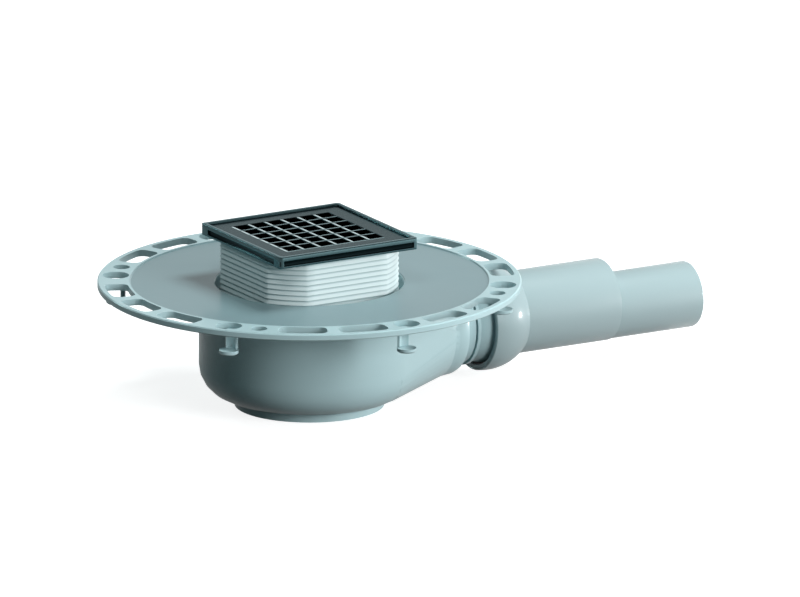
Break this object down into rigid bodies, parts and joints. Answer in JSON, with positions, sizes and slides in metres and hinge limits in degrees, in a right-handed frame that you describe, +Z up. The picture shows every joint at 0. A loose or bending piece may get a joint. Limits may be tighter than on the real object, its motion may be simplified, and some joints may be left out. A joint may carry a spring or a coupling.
{
  "type": "gully trap",
  "caption": "Round floor gully trap: slotted membrane flange on a bowl, ribbed riser with square framed grate, removable water seal and swivelling stepped side outlet.",
  "frame": {"origin": "centre of the bottom face of the round foot under the bowl", "axes": "+X along the outlet pipe, +Z up, +Y across"},
  "size_m": [0.3916, 0.256, 0.108],
  "materials": {
    "body_plastic": "smooth glossy light grey-blue moulded plastic",
    "riser_plastic": "glossy pale grey-blue moulded plastic",
    "insert_plastic": "plain moulded grey plastic",
    "grate_steel": "dark polished steel",
    "seal_rubber": "black rubber"
  },
  "bodies": {
    "housing": {"trap_body": "body_plastic", "trap_inlet_funnel": "insert_plastic", "trap_cup": "insert_plastic", "trap_o_ring": "seal_rubber"},
    "riser_seal": {"riser_lip_seal": "seal_rubber"},
    "riser": {"riser": "riser_plastic", "grate_frame": "grate_steel", "grate": "grate_steel"},
    "ball_seal": {"ball_lip_seal": "seal_rubber"},
    "socket_ring": {"seal_retaining_ring": "insert_plastic"},
    "spigot": {"outlet_spigot": "body_plastic"}
  },
  "joints": [
    {"name": "riser_height", "type": "slide", "parent": "housing", "child": "riser_seal", "axis": [0, 0, 1], "range_m": [-0.0095, 0.01]},
    {"name": "riser_turn", "type": "hinge", "parent": "riser_seal", "child": "riser", "pos_m": [0, 0, 0.062], "axis": [0, 0, 1], "continuous": true},
    {"name": "outlet_yaw", "type": "hinge", "parent": "housing", "child": "ball_seal", "pos_m": [0.119, 0, 0.038], "axis": [0, 0, 1], "range_deg": [-10.5, 10.5]},
    {"name": "outlet_pitch", "type": "hinge", "parent": "ball_seal", "child": "socket_ring", "pos_m": [0.119, 0, 0.038], "axis": [0, 1, 0], "range_deg": [-10.5, 10.5]},
    {"name": "outlet_roll", "type": "hinge", "parent": "socket_ring", "child": "spigot", "pos_m": [0.119, 0, 0.038], "axis": [1, 0, 0], "continuous": true}
  ]
}
